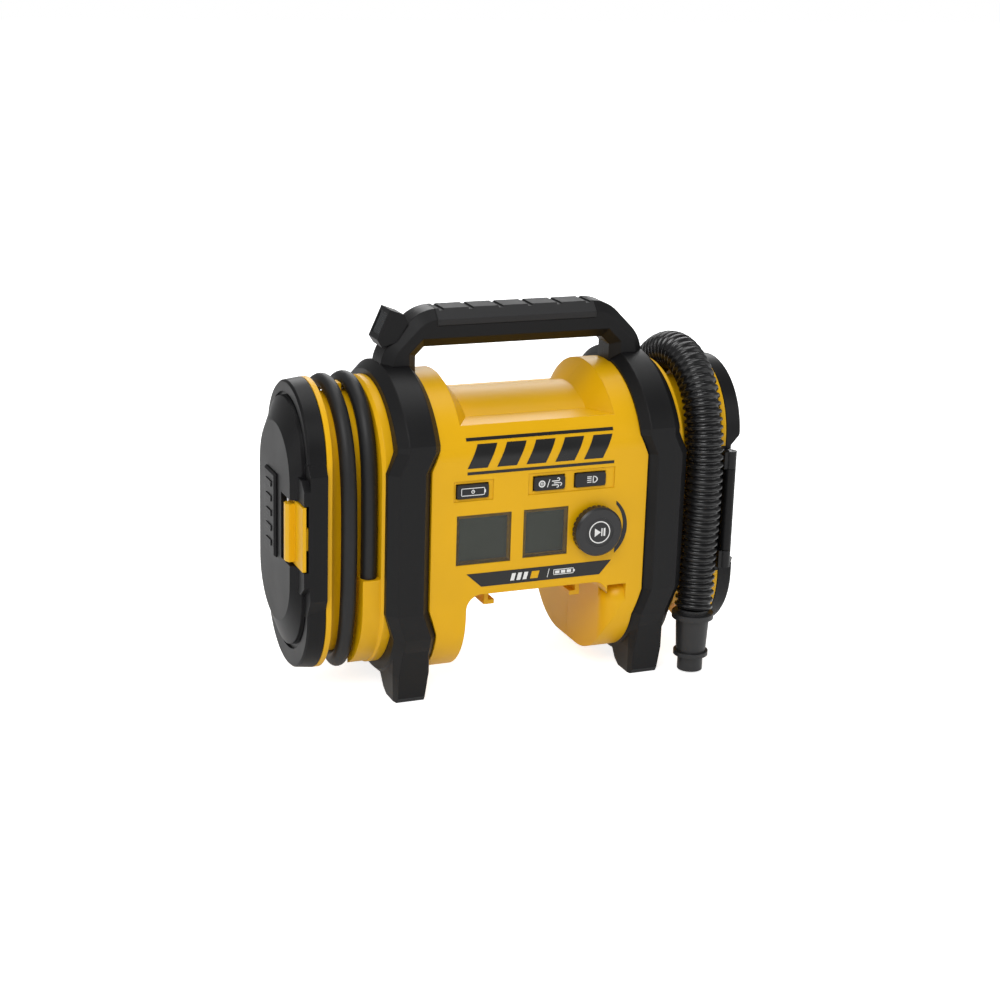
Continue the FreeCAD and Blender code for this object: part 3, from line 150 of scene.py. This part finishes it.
def ribbed_tube(name, pts, profile, segs=48):
    """Tube along pts; profile is a list of (distance, radius)."""
    pos, total = sampled(pts, [d for d, _ in profile])
    fine, _ = sampled(pts, [min(d + 0.0008, total) for d, _ in profile])
    fine0, _ = sampled(pts, [max(d - 0.0008, 0) for d, _ in profile])
    verts, faces = [], []
    n = Vector((1, 0, 0))
    for i, (d, r) in enumerate(profile):
        t = (fine[i] - fine0[i]).normalized()
        n = (n - t * n.dot(t)).normalized()
        b = t.cross(n)
        for j in range(segs):
            a = 2 * math.pi * j / segs
            verts.append(pos[i] + (n * math.cos(a) + b * math.sin(a)) * r)
    m = len(profile)
    for i in range(m - 1):
        for j in range(segs):
            k = (j + 1) % segs
            faces.append((i * segs + j, i * segs + k, (i + 1) * segs + k, (i + 1) * segs + j))
    faces.append(tuple(reversed(range(segs))))
    faces.append(tuple((m - 1) * segs + j for j in range(segs)))
    return mesh_object(name, verts, faces)


thin = nurbs("pressure_hose_cord", THIN_ROUTE, 5.0 * MM, 14)
thin_length = length_of(line_of("thin_line", THIN_ROUTE))

wide_pts = line_of("wide_line", WIDE_ROUTE)
wide_length = length_of(wide_pts)
PITCH = 4.75 * MM
profile = []
count = int(wide_length / PITCH)
pitch = wide_length / count
shape = [(0.00, 10.75), (0.10, 10.85), (0.20, 11.35), (0.28, 12.05), (0.37, 12.42),
         (0.50, 12.5), (0.63, 12.42), (0.72, 12.05), (0.80, 11.35), (0.90, 10.85)]
for i in range(count):
    for f, r in shape:
        profile.append(((i + f) * pitch, r * MM))
profile.append((wide_length, 10.75 * MM))
wide = ribbed_tube("corrugated_hose_cord", wide_pts, profile, 56)

HOSE_PIECES = {}

# --------------------------------------------------------------- materials


def new_material(name):
    m = bpy.data.materials.new(name)
    m.use_nodes = True
    nt = m.node_tree
    nt.nodes.clear()
    out = nt.nodes.new("ShaderNodeOutputMaterial")
    bsdf = nt.nodes.new("ShaderNodeBsdfPrincipled")
    nt.links.new(bsdf.outputs["BSDF"], out.inputs["Surface"])
    return m, nt, bsdf


def srgb(r, g, b):
    def f(c):
        c = c / 255.0
        return c / 12.92 if c <= 0.04045 else ((c + 0.055) / 1.055) ** 2.4
    return (f(r), f(g), f(b), 1.0)


def moulded(name, base, rough=0.42, grain=900.0, depth=0.12, tone=0.05, edge=0.7,
            spec=0.5, coat=0.0, spread=0.06, dust=0.0):
    """Moulded plastic: fine spark-erosion grain, slow tone drift, softened edges."""
    m, nt, b = new_material(name)
    L = nt.links.new
    tc = nt.nodes.new("ShaderNodeTexCoord")
    slow = nt.nodes.new("ShaderNodeTexNoise")
    slow.inputs["Scale"].default_value = 16.0
    slow.inputs["Detail"].default_value = 3.0
    L(tc.outputs["Object"], slow.inputs["Vector"])
    ramp = nt.nodes.new("ShaderNodeValToRGB")
    ramp.color_ramp.elements[0].position = 0.3
    ramp.color_ramp.elements[1].position = 0.7
    lo = [max(0.0, c * (1 - tone)) for c in base[:3]] + [1]
    hi = [min(1.0, c * (1 + tone)) for c in base[:3]] + [1]
    ramp.color_ramp.elements[0].color = lo
    ramp.color_ramp.elements[1].color = hi
    L(slow.outputs["Fac"], ramp.inputs["Fac"])
    L(ramp.outputs["Color"], b.inputs["Base Color"])
    fine = nt.nodes.new("ShaderNodeTexNoise")
    fine.inputs["Scale"].default_value = grain
    fine.inputs["Detail"].default_value = 4.0
    fine.inputs["Roughness"].default_value = 0.6
    L(tc.outputs["Object"], fine.inputs["Vector"])
    mr = nt.nodes.new("ShaderNodeMapRange")
    mr.inputs["From Min"].default_value = 0.25
    mr.inputs["From Max"].default_value = 0.75
    mr.inputs["To Min"].default_value = max(0.02, rough - spread)
    mr.inputs["To Max"].default_value = min(1.0, rough + spread)
    L(slow.outputs["Fac"], mr.inputs["Value"])
    L(mr.outputs["Result"], b.inputs["Roughness"])
    bump = nt.nodes.new("ShaderNodeBump")
    bump.inputs["Strength"].default_value = depth
    bump.inputs["Distance"].default_value = 0.0002
    L(fine.outputs["Fac"], bump.inputs["Height"])
    if edge > 0:
        bev = nt.nodes.new("ShaderNodeBevel")
        bev.samples = 4
        bev.inputs["Radius"].default_value = edge * MM
        L(bev.outputs["Normal"], bump.inputs["Normal"])
    L(bump.outputs["Normal"], b.inputs["Normal"])
    b.inputs["Specular IOR Level"].default_value = spec
    b.inputs["Coat Weight"].default_value = coat
    b.inputs["Coat Roughness"].default_value = 0.15
    return m


def metal(name, base, rough=0.3, scale=(40, 900, 900), depth=0.05, aniso=0.0):
    m, nt, b = new_material(name)
    L = nt.links.new
    tc = nt.nodes.new("ShaderNodeTexCoord")
    mp = nt.nodes.new("ShaderNodeMapping")
    mp.inputs["Scale"].default_value = scale
    L(tc.outputs["Object"], mp.inputs["Vector"])
    no = nt.nodes.new("ShaderNodeTexNoise")
    no.inputs["Scale"].default_value = 1.0
    no.inputs["Detail"].default_value = 5.0
    L(mp.outputs["Vector"], no.inputs["Vector"])
    mr = nt.nodes.new("ShaderNodeMapRange")
    mr.inputs["To Min"].default_value = max(0.05, rough - 0.1)
    mr.inputs["To Max"].default_value = rough + 0.12
    L(no.outputs["Fac"], mr.inputs["Value"])
    L(mr.outputs["Result"], b.inputs["Roughness"])
    ramp = nt.nodes.new("ShaderNodeValToRGB")
    ramp.color_ramp.elements[0].color = [c * 0.85 for c in base[:3]] + [1]
    ramp.color_ramp.elements[1].color = [min(1, c * 1.1) for c in base[:3]] + [1]
    L(no.outputs["Fac"], ramp.inputs["Fac"])
    L(ramp.outputs["Color"], b.inputs["Base Color"])
    bump = nt.nodes.new("ShaderNodeBump")
    bump.inputs["Strength"].default_value = depth
    bump.inputs["Distance"].default_value = 0.0001
    L(no.outputs["Fac"], bump.inputs["Height"])
    L(bump.outputs["Normal"], b.inputs["Normal"])
    b.inputs["Metallic"].default_value = 1.0
    return m


M_YELLOW = moulded("yellow_moulding", srgb(228, 173, 0), rough=0.36, grain=1400, depth=0.05,
                   tone=0.035, edge=0.8, spec=0.3)
M_BLACK = moulded("black_moulding", srgb(19, 19, 20), rough=0.42, grain=1100, depth=0.14,
                  tone=0.08, edge=0.9, spec=0.24)
M_BLACK_SMOOTH = moulded("black_smooth_moulding", srgb(18, 18, 19), rough=0.40, grain=1400,
                         depth=0.05, tone=0.06, edge=0.7, spec=0.2)
M_GRIP = moulded("grip_overmould", srgb(36, 36, 37), rough=0.62, grain=700, depth=0.3,
                 tone=0.06, edge=0.8, spec=0.35)
M_BUTTON = moulded("button_rubber_face", srgb(34, 34, 35), rough=0.5, grain=900, depth=0.12,
                   tone=0.05, edge=0.5, spec=0.4)
M_PRINT = moulded("printed_black", srgb(22, 22, 22), rough=0.3, grain=600, depth=0.03,
                  tone=0.05, edge=0.1, spec=0.45)
M_KNOB = moulded("knob_black", srgb(38, 38, 39), rough=0.38, grain=1200, depth=0.08,
                 tone=0.06, edge=0.2, spec=0.5)
M_KNOBCAP = moulded("knob_cap_black", srgb(28, 28, 29), rough=0.3, grain=900, depth=0.04,
                    tone=0.05, edge=0.2, spec=0.5)
M_WHITE = moulded("printed_white", srgb(232, 232, 230), rough=0.45, grain=700, depth=0.04,
                  tone=0.02, edge=0.0, spec=0.4)
M_BOARD = moulded("circuit_board_green", srgb(24, 84, 52), rough=0.35, grain=400, depth=0.08,
                  tone=0.15, edge=0.0, spec=0.5)
M_INNER = moulded("inner_plastic_grey", srgb(70, 70, 72), rough=0.5, grain=800, depth=0.1,
                  tone=0.06, edge=0.4, spec=0.4)
M_HOSE = moulded("hose_rubber_black", srgb(22, 22, 23), rough=0.48, grain=1600, depth=0.10,
                 tone=0.08, edge=0.0, spec=0.42)
M_RIBS = moulded("hose_rib_black", srgb(20, 20, 21), rough=0.27, grain=1300, depth=0.05,
                 tone=0.08, edge=0.0, spec=0.5)
M_NOZZLE = moulded("nozzle_black", srgb(38, 38, 39), rough=0.4, grain=1200, depth=0.08,
                   tone=0.06, edge=0.5, spec=0.45)
M_STEEL = metal("turned_steel", (0.62, 0.62, 0.64), 0.28)
M_BRASS = metal("turned_brass", (0.76, 0.58, 0.28), 0.25)
M_CAST = metal("cast_alloy", (0.66, 0.66, 0.68), 0.42, (600, 600, 600), 0.2)


def glass(name, colour, rough, alpha):
    m, nt, b = new_material(name)
    L = nt.links.new
    tc = nt.nodes.new("ShaderNodeTexCoord")
    no = nt.nodes.new("ShaderNodeTexNoise")
    no.inputs["Scale"].default_value = 60.0
    L(tc.outputs["Object"], no.inputs["Vector"])
    mr = nt.nodes.new("ShaderNodeMapRange")
    mr.inputs["To Min"].default_value = max(0.01, rough - 0.02)
    mr.inputs["To Max"].default_value = rough + 0.03
    L(no.outputs["Fac"], mr.inputs["Value"])
    L(mr.outputs["Result"], b.inputs["Roughness"])
    b.inputs["Base Color"].default_value = colour
    b.inputs["Alpha"].default_value = alpha
    b.inputs["Specular IOR Level"].default_value = 0.5
    return m


M_WINDOW = glass("display_window_glass", srgb(58, 61, 56), 0.16, 0.5)
M_LENS = glass("lamp_lens_clear", srgb(40, 42, 44), 0.12, 0.85)

# liquid-crystal panel: grey-green, faintly uneven
m, nt, b = new_material("display_panel_grey")
tc = nt.nodes.new("ShaderNodeTexCoord")
no = nt.nodes.new("ShaderNodeTexNoise")
no.inputs["Scale"].default_value = 45.0
no.inputs["Detail"].default_value = 2.0
nt.links.new(tc.outputs["Object"], no.inputs["Vector"])
ra = nt.nodes.new("ShaderNodeValToRGB")
ra.color_ramp.elements[0].color = srgb(112, 118, 104)
ra.color_ramp.elements[1].color = srgb(126, 132, 117)
nt.links.new(no.outputs["Fac"], ra.inputs["Fac"])
nt.links.new(ra.outputs["Color"], b.inputs["Base Color"])
b.inputs["Roughness"].default_value = 0.35
M_LCD = m

# right flange: yellow ring with a dark rail on its hinge side, told apart by position
M_FLANGE_RAIL = moulded("flange_with_dark_rail", srgb(228, 173, 0), rough=0.36, grain=1400,
                        depth=0.05, tone=0.035, edge=0.8, spec=0.3)
nt = M_FLANGE_RAIL.node_tree
geo = nt.nodes.new("ShaderNodeNewGeometry")
sep = nt.nodes.new("ShaderNodeSeparateXYZ")
nt.links.new(geo.outputs["Position"], sep.inputs["Vector"])


def step_of(socket, kind, level):
    n = nt.nodes.new("ShaderNodeMath")
    n.operation = kind
    n.inputs[1].default_value = level
    nt.links.new(socket, n.inputs[0])
    return n.outputs["Value"]


def times(a, b):
    n = nt.nodes.new("ShaderNodeMath")
    n.operation = "MULTIPLY"
    nt.links.new(a, n.inputs[0])
    nt.links.new(b, n.inputs[1])
    return n.outputs["Value"]


where = times(times(step_of(sep.outputs["Y"], "LESS_THAN", -0.034),
                    step_of(sep.outputs["Z"], "GREATER_THAN", 0.064)),
              step_of(sep.outputs["Z"], "LESS_THAN", 0.1495))
bs = [n for n in nt.nodes if n.type == "BSDF_PRINCIPLED"][0]
old = bs.inputs["Base Color"].links[0].from_socket
mixer = nt.nodes.new("ShaderNodeMix")
mixer.data_type = "RGBA"
cin = [s for s in mixer.inputs if s.type == "RGBA"]
nt.links.new(where, mixer.inputs["Factor"])
nt.links.new(old, cin[0])
cin[1].default_value = srgb(20, 20, 21)
nt.links.new([s for s in mixer.outputs if s.type == "RGBA"][0], bs.inputs["Base Color"])

NODE_MATERIAL = {}


def dress(mat, *names):
    for n in names:
        NODE_MATERIAL[n] = mat


dress(M_YELLOW, "front_housing", "rear_housing", "left_spool", "right_spool",
      "left_outer_flange", "left_latch", "right_latch", "battery_rails")
dress(M_BLACK, "left_frame", "right_frame", "handle_front",
      "handle_rear", "light_housing", "terminal_block")
dress(M_BLACK_SMOOTH, "left_door", "right_door", "left_door_plate", "right_door_plate")
dress(M_FLANGE_RAIL, "right_outer_flange")
dress(M_GRIP, "handle_grip")
dress(M_BUTTON, "power_button", "mode_button", "light_button")
dress(M_WINDOW, "left_display_window", "right_display_window")
dress(M_LCD, "left_display", "right_display")
dress(M_PRINT, "panel_trims", "panel_badge")
dress(M_KNOB, "selector_knob")
dress(M_KNOBCAP, "knob_cap")
dress(M_BOARD, "control_board", "light_board")
dress(M_LENS, "light_lens")
dress(M_STEEL, "housing_screws", "left_door_pin", "right_door_pin", "left_latch_pin",
      "right_latch_pin", "encoder_shaft", "encoder_plunger", "compressor_motor",
      "crank_bearing", "motor_pinion", "crank_gear", "blower_motor", "chuck_pin",
      "button_switches", "encoder_base")
dress(M_BRASS, "terminal_blades", "chuck_body")
dress(M_CAST, "compressor_bracket", "cylinder_liner", "piston_rod")
dress(M_INNER, "blower_scroll", "blower_impeller")
dress(M_HOSE, "pressure_hose")
dress(M_NOZZLE, "corrugated_hose", "hose_nozzle", "chuck_lever")


def set_material(ob, mat):
    ob.data.materials.clear()
    ob.data.materials.append(mat)


for n, ob in N.items():
    set_material(ob, NODE_MATERIAL[n])

# ----------------------------------------------------- cords: finish and declare
set_material(thin, M_HOSE)
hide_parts("pressure_hose")
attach(thin, "housing")
set_material(wide, M_RIBS)
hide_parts("corrugated_hose")
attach(wide, "housing")


# ------------------------------------------------------- printed marks, raised bars
def prisms(name, shapes, y_face, depth, body, mat):
    """Flat shapes in X and Z (mm), standing proud of a face at y_face (mm)."""
    verts, faces = [], []
    for pts in shapes:
        k, m = len(verts), len(pts)
        for x, z in pts:
            verts.append((x * MM, (y_face - depth) * MM, z * MM))
        for x, z in pts:
            verts.append((x * MM, (y_face + 0.05) * MM, z * MM))
        faces.append(tuple(k + j for j in range(m)))
        faces.append(tuple(k + m + j for j in reversed(range(m))))
        for j in range(m):
            n = (j + 1) % m
            faces.append((k + j, k + m + j, k + m + n, k + n))
    ob = mesh_object(name, verts, faces, smooth=False)
    set_material(ob, mat)
    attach(ob, body)
    return ob


def arc(cx, cz, r0, r1, a0, a1, n=24, squash=1.0):
    """Short quads of an annulus sector, degrees."""
    out = []
    for i in range(n):
        u = math.radians(a0 + (a1 - a0) * i / n)
        v = math.radians(a0 + (a1 - a0) * (i + 1) / n)
        out.append([(cx + r0 * math.cos(u) * squash, cz + r0 * math.sin(u)),
                    (cx + r1 * math.cos(u) * squash, cz + r1 * math.sin(u)),
                    (cx + r1 * math.cos(v) * squash, cz + r1 * math.sin(v)),
                    (cx + r0 * math.cos(v) * squash, cz + r0 * math.sin(v))])
    return out


def rect(x0, x1, z0, z1, lean=0.0):
    return [(x0, z0), (x1, z0), (x1 + lean, z1), (x0 + lean, z1)]


def frame_of(x0, x1, z0, z1, w):
    return [rect(x0, x1, z0, z0 + w), rect(x0, x1, z1 - w, z1),
            rect(x0, x0 + w, z0, z1), rect(x1 - w, x1, z0, z1)]


def front_of(label):
    ob = N[label]
    return min((ob.matrix_world @ v.co).y for v in ob.data.vertices) / MM


# supply button: a cell outline with a small round mark
pb = front_of("power_button")
prisms("supply_mark", frame_of(-54.2, -38.6, 135.4, 140.4, 0.45)
       + [rect(-38.6, -38.0, 136.9, 138.9)]
       + arc(-46.4, 137.9, 0.75, 1.2, 0, 360, 20) + [rect(-46.6, -46.2, 137.9, 139.4)],
       pb, 0.06, "power_button", M_WHITE)
# change-over button: tyre, slash, blown air
mb = front_of("mode_button")
tyre = arc(-0.4, 139.0, 1.5, 2.25, 0, 360, 28) + arc(-0.4, 139.0, 0.5, 0.95, 0, 360, 16)
air = [rect(6.3, 10.6, 140.0, 140.6), rect(7.6, 12.0, 138.7, 139.3),
       rect(6.3, 10.0, 137.4, 138.0)] + arc(10.6, 141.2, 0.6, 1.2, -90, 150, 14) \
    + arc(12.0, 138.1, 0.6, 1.2, -100, 90, 12) + arc(10.0, 136.9, 0.5, 1.1, -120, 90, 12)
prisms("changeover_mark", tyre + [rect(3.0, 3.5, 136.6, 141.6, 1.6)] + air,
       mb, 0.06, "mode_button", M_WHITE)
# lamp button: reflector with three rays
lb = front_of("light_button")
prisms("lamp_mark", arc(34.6, 139.1, 1.75, 2.3, -90, 90, 20, 1.35)
       + [rect(34.3, 34.9, 136.8, 141.4)]
       + [rect(30.4, 33.4, z, z + 0.5) for z in (137.2, 138.5, 139.8, 140.8)],
       lb, 0.06, "light_button", M_WHITE)
# start and pause mark on the knob
kc = front_of("knob_cap")
prisms("start_pause_mark", arc(37.5, 106.0, 6.6, 7.3, 0, 360, 56)
       + [[(34.1, 103.2), (38.3, 106.0), (34.1, 108.8)], rect(38.6, 39.4, 103.4, 108.6),
          rect(40.2, 41.4, 103.4, 108.6)],
       kc, 0.05, "knob", M_WHITE)
# charge marks on the dark strip
st = front_of("panel_trims")
prisms("charge_marks", [rect(x, x + 2.6, 77.2, 82.0, 1.2) for x in (-19.5, -15.3, -11.1)]
       + [rect(5.6, 6.0, 76.9, 82.5, 1.2)] + frame_of(10.0, 24.0, 77.9, 81.6, 0.45)
       + [rect(24.0, 24.8, 79.0, 80.5)] + [rect(11.2 + 4 * k, 14.2 + 4 * k, 78.8, 80.7)
                                           for k in range(3)],
       st, 0.05, "housing", M_WHITE)
prisms("charge_mark_warm", [rect(-6.0, -0.8, 77.2, 82.0, 1.2)],
       st, 0.05, "housing", M_YELLOW)


def side_prisms(name, shapes, x_face, out, body, mat):
    """Flat shapes in Y and Z (mm) on an end face, standing out by out (mm)."""
    verts, faces = [], []
    for pts in shapes:
        k, m = len(verts), len(pts)
        for y, z in pts:
            verts.append(((x_face + out) * MM, y * MM, z * MM))
        for y, z in pts:
            verts.append(((x_face - 0.05 * (1 if out > 0 else -1)) * MM, y * MM, z * MM))
        faces.append(tuple(k + j for j in range(m)))
        faces.append(tuple(k + m + j for j in reversed(range(m))))
        for j in range(m):
            n = (j + 1) % m
            faces.append((k + j, k + m + j, k + m + n, k + n))
    ob = mesh_object(name, verts, faces, smooth=False)
    bm = bmesh.new()
    bm.from_mesh(ob.data)
    bmesh.ops.recalc_face_normals(bm, faces=bm.faces)
    bm.to_mesh(ob.data)
    bm.free()
    set_material(ob, mat)
    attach(ob, body)
    return ob


for label, sx, yc in (("left_door", -1, 5.25), ("right_door", 1, -5.25)):
    side_prisms(label + "_raised_bars",
                [rect(yc - 5.5, yc + 5.5, 95.0 + 9.6 * k, 98.6 + 9.6 * k, 0.0)
                 for k in range(5)],
                157.0 * sx, 0.6 * sx, label, M_BLACK_SMOOTH)

# ------------------------------------------------------------------- stage
floor = mesh_object("floor", [(-6, -6, 0), (6, -6, 0), (6, 6, 0), (-6, 6, 0)],
                    [(0, 1, 2, 3)], smooth=False)
floor.location.z = -0.0002
m, nt, b = new_material("studio_floor")
tc = nt.nodes.new("ShaderNodeTexCoord")
no = nt.nodes.new("ShaderNodeTexNoise")
no.inputs["Scale"].default_value = 3.0
nt.links.new(tc.outputs["Object"], no.inputs["Vector"])
ra = nt.nodes.new("ShaderNodeValToRGB")
ra.color_ramp.elements[0].color = (0.88, 0.88, 0.88, 1)
ra.color_ramp.elements[1].color = (0.90, 0.90, 0.90, 1)
nt.links.new(no.outputs["Fac"], ra.inputs["Fac"])
nt.links.new(ra.outputs["Color"], b.inputs["Base Color"])
b.inputs["Roughness"].default_value = 0.9
b.inputs["Specular IOR Level"].default_value = 0.1
b.inputs["Emission Color"].default_value = (1, 1, 1, 1)
path = nt.nodes.new("ShaderNodeLightPath")
lift = nt.nodes.new("ShaderNodeMapRange")
lift.inputs["To Min"].default_value = 0.20
lift.inputs["To Max"].default_value = 0.80
nt.links.new(path.outputs["Is Camera Ray"], lift.inputs["Value"])
nt.links.new(lift.outputs["Result"], b.inputs["Emission Strength"])
set_material(floor, m)

world = bpy.data.worlds.new("studio")
SC.world = world
world.use_nodes = True
wn = world.node_tree
wn.nodes.clear()
wo = wn.nodes.new("ShaderNodeOutputWorld")
bg = wn.nodes.new("ShaderNodeBackground")
bg.inputs["Color"].default_value = (1, 1, 1, 1)
bg.inputs["Strength"].default_value = 0.27
bgc = wn.nodes.new("ShaderNodeBackground")
bgc.inputs["Color"].default_value = (1, 1, 1, 1)
bgc.inputs["Strength"].default_value = 1.0
lp = wn.nodes.new("ShaderNodeLightPath")
mx = wn.nodes.new("ShaderNodeMixShader")
wn.links.new(lp.outputs["Is Camera Ray"], mx.inputs["Fac"])
wn.links.new(bg.outputs["Background"], mx.inputs[1])
wn.links.new(bgc.outputs["Background"], mx.inputs[2])
wn.links.new(mx.outputs["Shader"], wo.inputs["Surface"])


def softbox(name, place, target, size, watts, size_y=None):
    ld = bpy.data.lights.new(name, "AREA")
    ld.shape = "RECTANGLE"
    ld.size = size
    ld.size_y = size_y or size
    ld.energy = watts
    ob = bpy.data.objects.new(name, ld)
    ob.location = place
    ob.rotation_mode = "QUATERNION"
    ob.rotation_quaternion = (Vector(target) - Vector(place)).to_track_quat("-Z", "Y")
    SC.collection.objects.link(ob)
    return ob


softbox("key", (-0.7, -1.1, 1.25), (0, 0, 0.1), 0.8, 13.5)
softbox("fill", (1.3, -1.0, 0.7), (0, 0, 0.1), 1.0, 4.0)
softbox("top", (0.1, 0.3, 1.5), (0, 0, 0.1), 1.1, 8.5)
softbox("side", (-1.5, 0.1, 0.5), (0, 0, 0.1), 0.9, 2.2)
softbox("rear", (0.6, 1.4, 0.9), (0, 0, 0.1), 1.0, 8.0)

SC.view_settings.view_transform = "Standard"
SC.view_settings.look = "None"
SC.view_settings.exposure = 0.0
SC.view_settings.gamma = 1.0
